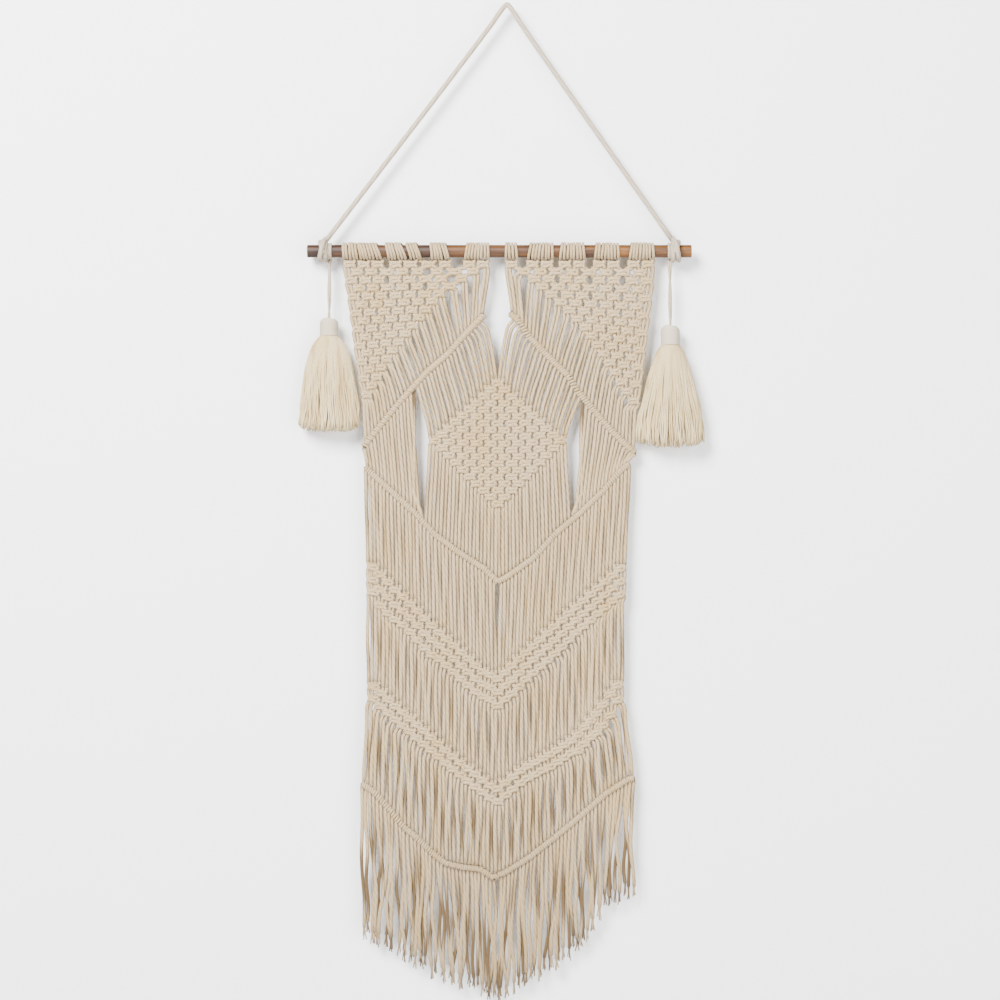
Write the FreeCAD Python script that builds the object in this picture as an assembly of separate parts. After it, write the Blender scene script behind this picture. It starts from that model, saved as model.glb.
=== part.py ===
import FreeCAD, Part
import os
from math import asin, atan2, cos, pi, sin

# A knotted cord wall hanging: a wood dowel in the loop of a hanging cord, a knotted panel of
# folded cords mounted on the dowel, and a tassel on a cord at each end of the dowel.
#
# Millimetres, +Z up, the front faces -Y.  The origin is where the hanging cord bears on its nail.
# The panel is laid out in its own plane: x from its centre line, depth down from the dowel's axis.

V = FreeCAD.Vector
SIDES = {"left": -1, "right": 1}

# ------------------------------------------------------------------ driving sizes
hanger_drop = 247.0          # nail down to the dowel's axis
panel_x = -9.5               # the panel's centre line, left of the nail

dowel_radius = 6.35
dowel_edge = 0.8             # rounding of its cut ends
dowel_overhang = 10.5        # bare wood outside each hanger knot
slip = 0.1                   # room between the wood and the cord loops round it

hanger_diameter = 5.0
nail_radius = 1.5
knot_width = 10.5            # turns of the hanging cord round the dowel, along it
knot_lump = 5.5              # radius of the crossing on the knot's front
leg_offset = 3.0             # the leg comes down this far inside the knot's middle

cord = 3.0                   # knotting cord
wrap = 2.8                   # the same cord, pressed flat where it goes round the dowel
bar_radius = 1.4             # the bar behind each lark's head
loop_room = 0.2              # between neighbouring lark's heads
bare_beside_panel = 8.0
corner_margin = {"left": 1.5, "right": 4.5}
# Lark's heads in groups from the centre line outwards, and the bare wood inside each group.
loop_counts = {"left": (4, 3, 2, 3, 6), "right": (2, 4, 4, 4, 4)}
loop_gaps = {"left": (8.6, 20.5, 13.0, 3.5, 8.0), "right": (7.6, 14.0, 8.0, 12.0, 12.5)}

knot_thickness = 7.0         # knotted cloth, front to back
strand_thickness = 3.0       # a layer of free strands
body_gap = 0.4               # between pieces that move apart
corner_width = {"left": 138.5, "right": 144.0}   # half widths of the panel, down its side
shoulder_width = {"left": 135.0, "right": 138.0}
waist_width = {"left": 133.0, "right": 128.0}
hem_width = {"left": 138.0, "right": 138.5}

net_inner = 8.0              # the two upper nets end this far from the centre line
net_inner_depth = 17.0
net_side_depth = 150.0
line_inner = 10.0            # the upper hitch line starts here
line_inner_depth = 64.0
line_side_depth = 195.0
line_height = 10.0

diamond_top = 131.0
diamond_half_width = 69.0
diamond_shoulder = 58.0      # its top down to its side corners
diamond_height = 129.0
diamond_slit = 3.0           # half the slit that the strands leave above it
slot_inside = 7.0            # the open slot beside the diamond: its inner and outer edges
slot_outside = 15.0

# Four chevrons: the free strands above each at the panel's side, its height, and how far its
# point hangs below its ends.
side_spans = (7.0, 93.0, 94.0, 81.0)
chevron_heights = (11.0, 31.0, 18.0, 10.0)
chevron_falls = (114.0, 112.0, 98.5, 87.0)
fringe_side = {"left": 140.0, "right": 112.0}
fringe_centre = 124.0

tassel_cord_radius = 1.9     # two strands laid together
tassel_strand = 2.4          # one of them, where it goes over the dowel
tassel_gap = 2.6             # between the skirt and the panel's side
pivot_height = 3.0           # the tassel's cord bends this far above its cap
cap_wall = 2.0
cap_radius = {"left": 9.7, "right": 10.0}
cap_height = {"left": 17.7, "right": 19.5}
cap_drop = {"left": 68.4, "right": 75.7}         # dowel axis to the top of the cap
skirt_half_width = {"left": 32.0, "right": 33.5}
skirt_half_depth = 13.0      # it lies against a wall, so it is flatter than wide
skirt_middle_width = {"left": 24.5, "right": 21.0}
skirt_middle_depth = 11.5
skirt_length = {"left": 95.5, "right": 102.0}
skirt_middle = 0.36          # where the skirt has its middle width, as a share of its length
end_knot_radius = 3.4        # the knot that keeps the cord in the tassel

# ------------------------------------------------------------------ sizes that follow
loop_inner_radius = dowel_radius + slip
loop_width = 2 * wrap
loop_pitch = loop_width + loop_room
net_top = loop_inner_radius + cord
knot_radius = loop_inner_radius + hanger_diameter
tassel_loop_width = 2 * tassel_strand

os.makedirs("parts", exist_ok=True)


def save(name, *solids):
    shape = solids[0] if len(solids) == 1 else Part.makeCompound(list(solids))
    shape.exportStep(os.path.join("parts", name + ".step"))
    volume = sum(solid.Volume for solid in solids)
    print(f"{name:32s} solids {len(shape.Solids):3d}  volume {volume:10.1f}  valid {shape.isValid()}")


# ------------------------------------------------------------------ along the dowel
def loop_centres(side):
    """Distances of the lark's heads from the panel's centre line, and the last one's outer end."""
    centres = []
    place = 0.0
    for count, gap in zip(loop_counts[side], loop_gaps[side]):
        place += gap
        for _ in range(count):
            centres.append(place + loop_width / 2)
            place += loop_pitch
    return centres, place - loop_room


def along_dowel(side):
    """Distances from the centre line: panel corner, tassel loop, hanger knot, end of the wood."""
    corner = loop_centres(side)[1] + corner_margin[side]
    loop_end = corner + bare_beside_panel + tassel_loop_width
    knot_end = loop_end + body_gap + knot_width
    return {
        "corner": corner,
        "tassel_loop": loop_end - tassel_loop_width / 2,
        "knot": knot_end - knot_width / 2,
        "end": knot_end + dowel_overhang,
    }


PLACES = {side: along_dowel(side) for side in SIDES}


def on_dowel(side, distance):
    """A point on the dowel's axis, that far from the panel's centre line."""
    return V(panel_x + SIDES[side] * distance, 0, -hanger_drop)


def rod(side, middle, width, radius):
    """A plain cylinder on the dowel's axis, about a middle distance."""
    x = on_dowel(side, middle).x - width / 2
    return Part.makeCylinder(radius, width, V(x, 0, -hanger_drop), V(1, 0, 0))


def band(side, middle, width, thickness):
    """A turn of cord round the dowel."""
    outer = rod(side, middle, width, loop_inner_radius + thickness)
    return outer.cut(rod(side, middle, width + 2, loop_inner_radius))


def make_dowel():
    start = on_dowel("left", PLACES["left"]["end"])
    length = PLACES["left"]["end"] + PLACES["right"]["end"]
    wood = Part.makeCylinder(dowel_radius, length, start, V(1, 0, 0))
    ends = [edge for edge in wood.Edges if isinstance(edge.Curve, Part.Circle)]
    return wood.makeFillet(dowel_edge, ends)


def make_larks_head(side, middle):
    """Two turns side by side over the wood, held by the cord's own bar behind them."""
    turns = band(side, middle, loop_width, cord)
    bar_y = loop_inner_radius + cord
    start = V(on_dowel(side, middle).x - loop_width / 2, bar_y, -hanger_drop)
    bar = Part.makeCylinder(bar_radius, loop_width, start, V(1, 0, 0))
    return turns.fuse(bar).removeSplitter()


# ------------------------------------------------------------------ hanging cord
def make_hanger_knot(side):
    """Turns of the hanging cord round the dowel, with its crossing on the front."""
    middle = PLACES[side]["knot"]
    turns = band(side, middle, knot_width, hanger_diameter)
    centre = on_dowel(side, middle) + V(0, -loop_inner_radius - hanger_diameter / 2, hanger_diameter / 2)
    lump = Part.makeSphere(knot_lump, centre)
    lump = lump.common(rod(side, middle, knot_width, 3 * knot_radius))
    knot = turns.fuse(lump)
    return knot.cut(rod(side, middle, knot_width + 2, loop_inner_radius)).removeSplitter()


def tangent_point(foot, centre, radius, side):
    """Where a straight leg from a foot below touches the circle that goes over the nail."""
    across = foot - centre
    reach = across.Length
    angle = atan2(across.z, across.x) - SIDES[side] * (asin(radius / reach) - pi / 2)
    return centre + V(cos(angle), 0, sin(angle)) * radius


def make_hanging_cord(knots):
    """Two straight legs, pulled tight over the nail by the weight below."""
    bend = nail_radius + hanger_diameter / 2
    centre = V(0, 0, -nail_radius)
    foot = {}
    touch = {}
    for side, sign in SIDES.items():
        distance = PLACES[side]["knot"] - leg_offset
        foot[side] = on_dowel(side, distance) + V(0, 0, knot_radius - 1)
        touch[side] = tangent_point(foot[side], centre, bend, side)
    top = centre + V(0, 0, bend)
    path = Part.Wire([
        Part.LineSegment(foot["left"], touch["left"]).toShape(),
        Part.Arc(touch["left"], top, touch["right"]).toShape(),
        Part.LineSegment(touch["right"], foot["right"]).toShape(),
    ])
    start = foot["left"]
    section = Part.Wire(Part.makeCircle(hanger_diameter / 2, start, touch["left"] - start))
    tube = path.makePipeShell([section], True, True)
    expected = pi * (hanger_diameter / 2) ** 2 * path.Length
    print(f"hanging cord: length {path.Length:.1f}, bend radius {bend:.1f}, "
          f"volume {tube.Volume:.0f} of {expected:.0f}")
    for knot in knots:
        tube = tube.cut(knot)
    return tube


# ------------------------------------------------------------------ panel
def side_tops():
    """Depth of each chevron's top edge at the panel's side, one below another."""
    depth = line_side_depth + line_height
    tops = []
    for span, height in zip(side_spans, chevron_heights):
        depth += span
        tops.append(depth)
        depth += height
    return tops


CHEVRON_SIDE = side_tops()
CHEVRON_CENTRE = [top + fall for top, fall in zip(CHEVRON_SIDE, chevron_falls)]


def side_width(side, depth):
    """Half width of the panel at a depth, straight between the places where it changes."""
    stations = [
        (net_top, PLACES[side]["corner"]),
        (net_side_depth, corner_width[side]),
        (CHEVRON_SIDE[0], shoulder_width[side]),
        (CHEVRON_SIDE[2] + chevron_heights[2], waist_width[side]),
        (CHEVRON_SIDE[3], hem_width[side]),
    ]
    if depth >= stations[-1][0]:
        return stations[-1][1]
    for (high, wide), (low, narrow) in zip(stations, stations[1:]):
        if depth <= low:
            share = max(0.0, depth - high) / (low - high)
            return wide + (narrow - wide) * share


def at_side(side, depth):
    return (side_width(side, depth), depth)


def depth_on(line, x):
    """Depth of a straight line, given by its inner and outer ends, at x."""
    (x0, depth0), (x1, depth1) = line
    return depth0 + (depth1 - depth0) * (x - x0) / (x1 - x0)


def plate(side, outline, thickness):
    """A flat piece of the panel from its outline, centred on the panel's plane."""
    corners = []
    for x, depth in outline:
        corners.append(V(panel_x + SIDES[side] * x, -thickness / 2, -hanger_drop - depth))
    face = Part.Face(Part.makePolygon(corners + corners[:1]))
    return face.extrude(V(0, thickness, 0))


def lowered(line, drop):
    return [(x, depth + drop) for x, depth in line]


def hitch_line(side):
    """The top edge of the upper hitch line, from its inner end to the panel's side."""
    return [(line_inner, line_inner_depth), at_side(side, line_side_depth)]


def chevron_edge(side, number, drop=0.0):
    """A chevron's top edge, or one that far below it, from the centre line to the side."""
    centre = CHEVRON_CENTRE[number] + drop
    return [(0.0, centre), at_side(side, CHEVRON_SIDE[number] + drop)]


def between(side, upper, lower, thickness):
    return plate(side, list(upper) + list(reversed(lower)), thickness)


def fold_depth(above, below):
    """A fold runs half way between the point of one chevron and the ends of the next."""
    point = CHEVRON_CENTRE[above] + chevron_heights[above]
    return (point + CHEVRON_SIDE[below]) / 2


def split_at(piece, depth):
    """The part of a plate above a fold, and the part below it with room to turn."""
    reach = 4 * hanger_drop
    high = Part.makeBox(2 * reach, reach, reach, V(-reach, -reach / 2, -hanger_drop - depth))
    low = high.translated(V(0, 0, -reach - body_gap))
    return piece.common(high), piece.common(low)


FOLDS = {"upper": fold_depth(0, 1), "lower": fold_depth(2, 3)}


def make_panel(side):
    pieces = {}
    line = hitch_line(side)
    line_low = lowered(line, line_height)
    net_edge = [(net_inner, net_inner_depth), at_side(side, net_side_depth)]
    pieces["upper_net"] = plate(
        side, [(net_inner, net_top), at_side(side, net_top)] + list(reversed(net_edge)), knot_thickness)
    pieces["upper_strands"] = between(side, net_edge, line, strand_thickness)
    pieces["hitch_line"] = between(side, line, line_low, knot_thickness)

    slot_in = diamond_half_width + slot_inside
    slot_out = diamond_half_width + slot_outside
    first = chevron_edge(side, 0)
    pieces["side_strands"] = plate(side, [
        (slot_out, depth_on(line_low, slot_out)),
        line_low[1],
        first[1],
        (slot_out, depth_on(first, slot_out)),
    ], strand_thickness)
    tip = (diamond_half_width, diamond_top + diamond_shoulder)
    top_point = (0.0, diamond_top)
    slit = (diamond_slit, depth_on([top_point, tip], diamond_slit))
    pieces["diamond_upper_strands"] = plate(side, [
        line_low[0],
        (slot_in, depth_on(line_low, slot_in)),
        tip,
        slit,
    ], strand_thickness)
    pieces["diamond_lower_strands"] = plate(side, [
        tip,
        (slot_in, depth_on(first, slot_in)),
        first[0],
        (0.0, diamond_top + diamond_height),
    ], strand_thickness)

    for number, height in enumerate(chevron_heights):
        pieces[f"chevron_{number + 1}"] = between(
            side, chevron_edge(side, number), chevron_edge(side, number, height), knot_thickness)

    # Free strands between the chevrons.  A fold moves what is below it away from what is above,
    # so there the piece on the other side of the fold stands body_gap off its neighbour.
    for number, fold in ((0, "upper"), (2, "lower")):
        height = chevron_heights[number]
        above = between(side, chevron_edge(side, number, height),
                        chevron_edge(side, number + 1, -body_gap), strand_thickness)
        below = between(side, chevron_edge(side, number, height + body_gap),
                        chevron_edge(side, number + 1), strand_thickness)
        pieces[f"span_{number + 1}_upper"] = split_at(above, FOLDS[fold])[0]
        pieces[f"span_{number + 1}_lower"] = split_at(below, FOLDS[fold])[1]
    top = chevron_edge(side, 1, chevron_heights[1])
    pieces["span_2"] = between(side, top, chevron_edge(side, 2), strand_thickness)

    hem = chevron_edge(side, 3, chevron_heights[3])
    ends = [(0.0, hem[0][1] + fringe_centre), (hem[1][0], hem[1][1] + fringe_side[side])]
    pieces["fringe"] = between(side, hem, ends, strand_thickness)
    return pieces


def make_diamond():
    top = V(panel_x, -knot_thickness / 2, -hanger_drop - diamond_top)
    left = top + V(-diamond_half_width, 0, -diamond_shoulder)
    right = top + V(diamond_half_width, 0, -diamond_shoulder)
    low = top + V(0, 0, -diamond_height)
    face = Part.Face(Part.makePolygon([top, right, low, left, top]))
    return face.extrude(V(0, knot_thickness, 0))


# ------------------------------------------------------------------ tassels
def tassel_axis(side):
    """The tassel hangs just clear of the panel's side, at its foot and where the panel is wider."""
    neck = cap_drop[side] + cap_height[side]
    foot = side_width(side, neck + skirt_length[side]) + skirt_half_width[side]
    middle = side_width(side, neck + skirt_middle * skirt_length[side]) + skirt_middle_width[side]
    return max(foot, middle) + tassel_gap


def in_tassel(side, radius, drop):
    """A point of a turned profile: a radius from the tassel's axis, below the top of its cap."""
    x = panel_x + SIDES[side] * tassel_axis(side)
    return V(x + radius, 0, -hanger_drop - cap_drop[side] - drop)


def turned(side, edges):
    """A solid turned about the tassel's axis from the edges of half its section."""
    face = Part.Face(Part.Wire([edge.toShape() for edge in edges]))
    return face.revolve(in_tassel(side, 0, 0), V(0, 0, 1), 360)


def dome(side, top_radius, radius, drop, depth):
    """A quarter-round from the edge of a hole at the top to a vertical side."""
    start = in_tassel(side, top_radius, drop)
    middle = in_tassel(
        side, top_radius + (radius - top_radius) * sin(pi / 4), drop + depth * (1 - cos(pi / 4)))
    end = in_tassel(side, radius, drop + depth)
    return Part.Arc(start, middle, end)


def polyline(points):
    return [Part.LineSegment(a, b) for a, b in zip(points, points[1:])]


def make_cap(side):
    """Thread wound and stitched into a domed cap, open at the neck and for the cord."""
    radius = cap_radius[side]
    height = cap_height[side]
    hole = tassel_cord_radius + body_gap
    outside = dome(side, hole, radius, 0, 0.6 * radius)
    inside = dome(side, hole, radius - cap_wall, cap_wall, 0.6 * radius)
    edges = [outside]
    edges += polyline([outside.EndPoint, in_tassel(side, radius, height),
                       in_tassel(side, radius - cap_wall, height), inside.EndPoint])
    edges += [inside]
    edges += polyline([inside.StartPoint, outside.StartPoint])
    return turned(side, edges)


def make_core(side):
    """The yarns folded over the cord's knot, filling the cap."""
    radius = cap_radius[side] - cap_wall - slip
    height = cap_height[side]
    bore = tassel_cord_radius + slip
    pocket = end_knot_radius + slip
    shoulder = cap_wall + 0.6 * cap_radius[side]
    step = height - 2 * pocket
    return turned(side, polyline([
        in_tassel(side, bore, shoulder), in_tassel(side, radius, shoulder),
        in_tassel(side, radius, height), in_tassel(side, pocket, height),
        in_tassel(side, pocket, step), in_tassel(side, bore, step),
        in_tassel(side, bore, shoulder)]))


def make_cord_end(side):
    """The last of the tassel's cord, in through the cap to its knot."""
    start = in_tassel(side, 0, tassel_cord_radius + body_gap - pivot_height)
    knot_centre = in_tassel(side, 0, cap_height[side] - end_knot_radius - slip)
    stem = Part.makeCylinder(tassel_cord_radius, start.z - knot_centre.z, knot_centre, V(0, 0, 1))
    return stem.fuse(Part.makeSphere(end_knot_radius, knot_centre)).removeSplitter()


def make_skirt(side):
    """The cut yarns below the cap, spreading as they hang."""
    top = cap_height[side]
    length = skirt_length[side]
    sections = (
        (top, cap_radius[side], cap_radius[side]),
        (top + skirt_middle * length, skirt_middle_width[side], skirt_middle_depth),
        (top + length, skirt_half_width[side], skirt_half_depth),
    )
    wires = []
    for drop, half_width, half_depth in sections:
        outline = Part.Circle(in_tassel(side, 0, drop), V(0, 0, 1), half_width)
        if half_width > half_depth:
            outline = Part.Ellipse(in_tassel(side, 0, drop), half_width, half_depth)
        wires.append(Part.Wire(outline.toShape()))
    return Part.makeLoft(wires, True)


def make_tassel_cord(side):
    """A doubled cord, looped over the dowel and pulled straight by the tassel's weight."""
    middle = PLACES[side]["tassel_loop"]
    loop = band(side, middle, tassel_loop_width, tassel_strand)
    start = on_dowel(side, middle) - V(0, 0, loop_inner_radius + tassel_strand / 2)
    end = in_tassel(side, 0, -pivot_height)
    run = end - start
    cord_run = Part.makeCylinder(tassel_cord_radius, run.Length, start, run)
    cord_run = cord_run.fuse(Part.makeSphere(tassel_cord_radius, end))
    print(f"tassel cord {side}: from the loop {run.Length:.1f}, straight")
    return loop.fuse(cord_run).cut(rod(side, middle, 4 * tassel_loop_width, loop_inner_radius))


# ------------------------------------------------------------------ the whole object
save("dowel", make_dowel())
knots = {side: make_hanger_knot(side) for side in SIDES}
save("hanging_cord", make_hanging_cord(knots.values()))
for side in SIDES:
    save(f"hanger_knot_{side}", knots[side])
    save(f"larks_heads_{side}", *[make_larks_head(side, centre) for centre in loop_centres(side)[0]])
    for name, piece in make_panel(side).items():
        save(f"{name}_{side}", piece)
    save(f"tassel_cord_{side}", make_tassel_cord(side))
    save(f"tassel_cord_end_{side}", make_cord_end(side))
    save(f"tassel_cap_{side}", make_cap(side))
    save(f"tassel_core_{side}", make_core(side))
    save(f"tassel_skirt_{side}", make_skirt(side))
save("diamond_net", make_diamond())

# Where the turning axes lie.
print("dowel axis z", -hanger_drop, "from x", on_dowel("left", PLACES["left"]["end"]).x,
      "to", on_dowel("right", PLACES["right"]["end"]).x)
for name, depth in FOLDS.items():
    print(f"{name} fold: y {-knot_thickness / 2}, z {-hanger_drop - depth}")
for side in SIDES:
    pivot = in_tassel(side, 0, -pivot_height)
    print(f"tassel pivot {side}: x {pivot.x:.2f}, z {pivot.z:.2f}")
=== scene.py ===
import random
from math import cos, pi, radians, sin

import bmesh
import bpy
import numpy as np
from mathutils import Matrix, Vector


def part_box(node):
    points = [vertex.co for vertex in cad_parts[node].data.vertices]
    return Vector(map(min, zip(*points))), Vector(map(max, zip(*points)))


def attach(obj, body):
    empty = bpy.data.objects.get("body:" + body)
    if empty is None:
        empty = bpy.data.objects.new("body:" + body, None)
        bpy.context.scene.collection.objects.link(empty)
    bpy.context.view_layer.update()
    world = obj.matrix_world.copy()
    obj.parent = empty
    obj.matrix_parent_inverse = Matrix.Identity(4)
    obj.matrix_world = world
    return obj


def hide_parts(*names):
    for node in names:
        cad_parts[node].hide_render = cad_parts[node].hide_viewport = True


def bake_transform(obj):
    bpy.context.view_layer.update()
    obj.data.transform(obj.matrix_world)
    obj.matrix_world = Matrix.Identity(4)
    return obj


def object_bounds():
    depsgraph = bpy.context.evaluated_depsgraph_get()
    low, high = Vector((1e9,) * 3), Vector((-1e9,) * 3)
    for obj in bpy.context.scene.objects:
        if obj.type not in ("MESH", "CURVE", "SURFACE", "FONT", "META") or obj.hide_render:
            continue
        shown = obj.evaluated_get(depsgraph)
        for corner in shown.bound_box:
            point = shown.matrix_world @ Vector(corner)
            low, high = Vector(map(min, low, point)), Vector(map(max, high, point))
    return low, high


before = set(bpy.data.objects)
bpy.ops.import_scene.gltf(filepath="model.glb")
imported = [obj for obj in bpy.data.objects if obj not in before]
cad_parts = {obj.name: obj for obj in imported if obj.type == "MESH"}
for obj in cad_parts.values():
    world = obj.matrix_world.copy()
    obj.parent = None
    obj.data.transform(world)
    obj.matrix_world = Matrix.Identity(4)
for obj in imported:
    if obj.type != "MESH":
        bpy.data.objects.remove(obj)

# A knotted cord wall hanging: a wood dowel in the loop of a hanging cord, a panel knotted from 36
# folded cords, and a tassel on a doubled cord at each end of the dowel.
#
# The knotting is laid out in millimetres in the panel's own plane: x from its centre line, depth
# down from the dowel's axis, and how far it stands out towards the viewer.

cad_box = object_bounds()
scene = bpy.context.scene

# ---------------------------------------------------------------- room
# A plain white wall that the hanging is on, a pale floor, and large soft lamps in front and behind.
# From behind, the wall can be seen through and lets light through, so the back shows too.
WALL_BEHIND = 0.0145         # wall to the dowel's axis, in metres
FLOOR_BELOW = 0.35           # floor below the fringe's point
ROOM_HALF = 4.0
LAMP_AIM = (0, 0, -0.45)     # the middle of the hanging


class Value:
    """A shader socket that can be used in sums."""

    def __init__(self, finish, socket):
        self.finish = finish
        self.socket = socket

    def math(self, operation, *others, reflected=False):
        terms = (self, *others)
        if reflected:
            terms = terms[::-1]
        return self.finish.node("Math", dict(enumerate(terms)), operation=operation)

    def __add__(self, other):
        return self.math("ADD", other)

    def __mul__(self, other):
        return self.math("MULTIPLY", other)

    def __sub__(self, other):
        return self.math("SUBTRACT", other)

    def __rsub__(self, other):
        return self.math("SUBTRACT", other, reflected=True)

    def __pow__(self, other):
        return self.math("POWER", other)

    __radd__ = __add__
    __rmul__ = __mul__

    def clipped(self):
        return self.math("MAXIMUM", 0.0).math("MINIMUM", 1.0)

    def output(self, number):
        """Another output of the same node."""
        return Value(self.finish, self.socket.node.outputs[number])


class Finish:
    """A material, built up from nodes."""

    def __init__(self, name, roughness):
        self.material = bpy.data.materials.new(name)
        self.material.use_nodes = True
        self.tree = self.material.node_tree
        self.surface = self.tree.nodes["Principled BSDF"]
        self.surface.inputs["Roughness"].default_value = roughness

    def feed(self, socket, value):
        if isinstance(value, Value):
            self.tree.links.new(value.socket, socket)
        elif isinstance(value, tuple) and len(value) == 3 and socket.type == "RGBA":
            socket.default_value = (*value, 1)
        else:
            socket.default_value = value

    def node(self, kind, sockets=None, out=0, stops=None, **settings):
        made = self.tree.nodes.new("ShaderNode" + kind)
        for name, value in settings.items():
            setattr(made, name, value)
        if stops:
            ramp = made.color_ramp
            while len(ramp.elements) < len(stops):
                ramp.elements.new(1.0)
            for element, (place, colour) in zip(ramp.elements, stops):
                element.position = place
                element.color = (*colour, 1)
        for key, value in (sockets or {}).items():
            self.feed(made.inputs[key], value)
        return Value(self, made.outputs[out])

    def place(self, scale=(1, 1, 1)):
        """Object coordinates, stretched."""
        where = self.node("TexCoord", out="Object")
        return self.node("Mapping", {"Vector": where, "Scale": scale})

    def noise(self, where, scale, detail=3.0):
        return self.node("TexNoise", {"Vector": where, "Scale": scale, "Detail": detail})

    def mix(self, share, first, second, blend="MIX"):
        return self.node("Mix", {0: share, 6: first, 7: second}, out=2, data_type="RGBA",
                         blend_type=blend)

    def colour(self, value):
        self.feed(self.surface.inputs["Base Color"], value)

    def bump(self, height, distance, strength=1.0):
        normal = self.node("Bump", {"Height": height, "Distance": distance, "Strength": strength})
        self.feed(self.surface.inputs["Normal"], normal)


def flat_stage(name, place, colour, see_through_back):
    """A plain square of wall or floor."""
    mesh = bpy.data.meshes.new(name)
    build = bmesh.new()
    bmesh.ops.create_grid(build, x_segments=1, y_segments=1, size=ROOM_HALF, matrix=place)
    build.to_mesh(mesh)
    build.free()
    piece = bpy.data.objects.new(name, mesh)
    scene.collection.objects.link(piece)
    paint = Finish(name, 0.9)
    paint.colour(colour)
    paint.surface.inputs["Specular IOR Level"].default_value = 0.1
    if see_through_back:
        front = Value(paint, paint.surface.outputs[0])
        from_behind = paint.node("NewGeometry", out="Backfacing")
        sides = paint.node("MixShader", {0: from_behind, 1: front, 2: paint.node("BsdfTransparent")})
        paint.feed(paint.tree.nodes["Material Output"].inputs["Surface"], sides)
    mesh.materials.append(paint.material)
    return piece


floor_z = cad_box[0].z - FLOOR_BELOW
upright = Matrix.Rotation(pi / 2, 4, "X")
wall = flat_stage("wall", Matrix.Translation((0, WALL_BEHIND, floor_z + ROOM_HALF)) @ upright,
                  (0.97, 0.97, 0.97), True)
wall.visible_diffuse = False
wall.visible_glossy = False
wall.visible_shadow = False
flat_stage("floor", Matrix.Translation((0, 0, floor_z)), (0.86, 0.855, 0.85), False)


def lamp(name, place, size, power):
    """A square soft box, turned to the middle of the hanging."""
    data = bpy.data.lights.new(name, "AREA")
    data.size = size
    data.energy = power
    made = bpy.data.objects.new(name, data)
    scene.collection.objects.link(made)
    made.location = place
    aim = Vector(LAMP_AIM) - made.location
    made.rotation_mode = "QUATERNION"
    made.rotation_quaternion = aim.to_track_quat("-Z", "Y")


lamp("key_lamp", (-1.1, -1.9, 0.9), 1.1, 275)
lamp("fill_lamp", (1.5, -2.1, -0.4), 1.8, 85)
lamp("back_lamp", (0.8, 2.6, 0.4), 1.8, 65)
world = bpy.data.worlds.new("room_light")
world.use_nodes = True
background = world.node_tree.nodes["Background"]
background.inputs["Color"].default_value = (1, 1, 1, 1)
background.inputs["Strength"].default_value = 0.2
scene.world = world

camera = bpy.data.objects.new("camera", bpy.data.cameras.new("camera"))
scene.collection.objects.link(camera)
camera.data.lens = 85
camera.data.sensor_width = 36
camera.location = (-0.0071, -2.4, -0.4999)
camera.rotation_euler = (pi / 2, 0, 0)
scene.camera = camera

# ---------------------------------------------------------------- dowel
# A round stick of mottled hardwood, sanded and lightly stained, with its ends cut square and their
# edges eased.  Its grain runs along it, and it darkens towards its left end.


def tint(red, green, blue):
    """A colour from its 0-255 values, as the shaders take it."""
    return tuple((part / 255) ** 2.2 for part in (red, green, blue))


DOWEL_PALE = tint(124, 86, 34)
DOWEL_BROWN = tint(82, 52, 18)
DOWEL_DARK = tint(42, 25, 9)


def dowel_finish():
    wood = Finish("dowel_wood", 0.55)
    along = wood.node("SeparateXYZ", {0: wood.place()}, out="X")
    grain = wood.noise(wood.place((22, 420, 420)), 1.0, 5.0)
    mottle = wood.noise(wood.place((28, 60, 60)), 1.0, 2.0)
    pores = wood.noise(wood.place((160, 1500, 1500)), 1.0, 2.0)
    share = (grain * 0.9 + mottle * 0.8 - 0.35).clipped()
    colour = wood.node("ValToRGB", {0: share}, stops=[
        (0.22, DOWEL_DARK), (0.45, DOWEL_BROWN), (0.75, DOWEL_PALE)])
    # A tint over the wood, darker towards the left end.
    right = (along * 2.4 + 0.55).clipped()
    leftward_darker_tint = wood.mix(right, tint(158, 140, 104), tint(244, 228, 190))
    colour = wood.mix(1.0, colour, leftward_darker_tint, "MULTIPLY")
    colour = wood.mix((pores * 2.2 - 1.2).clipped() * 0.35, colour, DOWEL_DARK)
    wood.colour(colour)
    wood.feed(wood.surface.inputs["Roughness"], grain * 0.25 + 0.42)
    wood.bump(grain * 0.7 + pores * 0.5, 0.0004, 0.6)
    return wood.material


dowel = bpy.data.objects["dowel"]
for slot in dowel.material_slots:
    slot.material = dowel_finish()
dowel_low, dowel_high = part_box("dowel")
dowel_z = (dowel_low.z + dowel_high.z) / 2

# ---------------------------------------------------------------- hanging cord
# One 5 mm twisted cotton cord, tied round the dowel near each end and pulled tight over the nail.
# Every cord here is drawn as smooth lines, then given its thickness and its twist.
HANGER_RADIUS = 2.5
NAIL_BEND = 4.4              # the bend over the nail is this wide
SHOULDER = 0.115             # where it starts, as a share of the leg from the nail down
LEG_INSIDE = 3.0             # the leg comes down this far inside the knot's middle
KNOT_TURN = 2.7              # each turn of the knot is this far from its middle
KNOT_TIGHT = 9.8             # and its line is this far from the dowel's axis
SIDES = {"left": -1, "right": 1}
CORD_SIDES = 8
CLOTH_CORE = 0.0011          # half the cloth's thickness where shade is painted into the cords, in metres

draw = random.Random(7)


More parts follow.
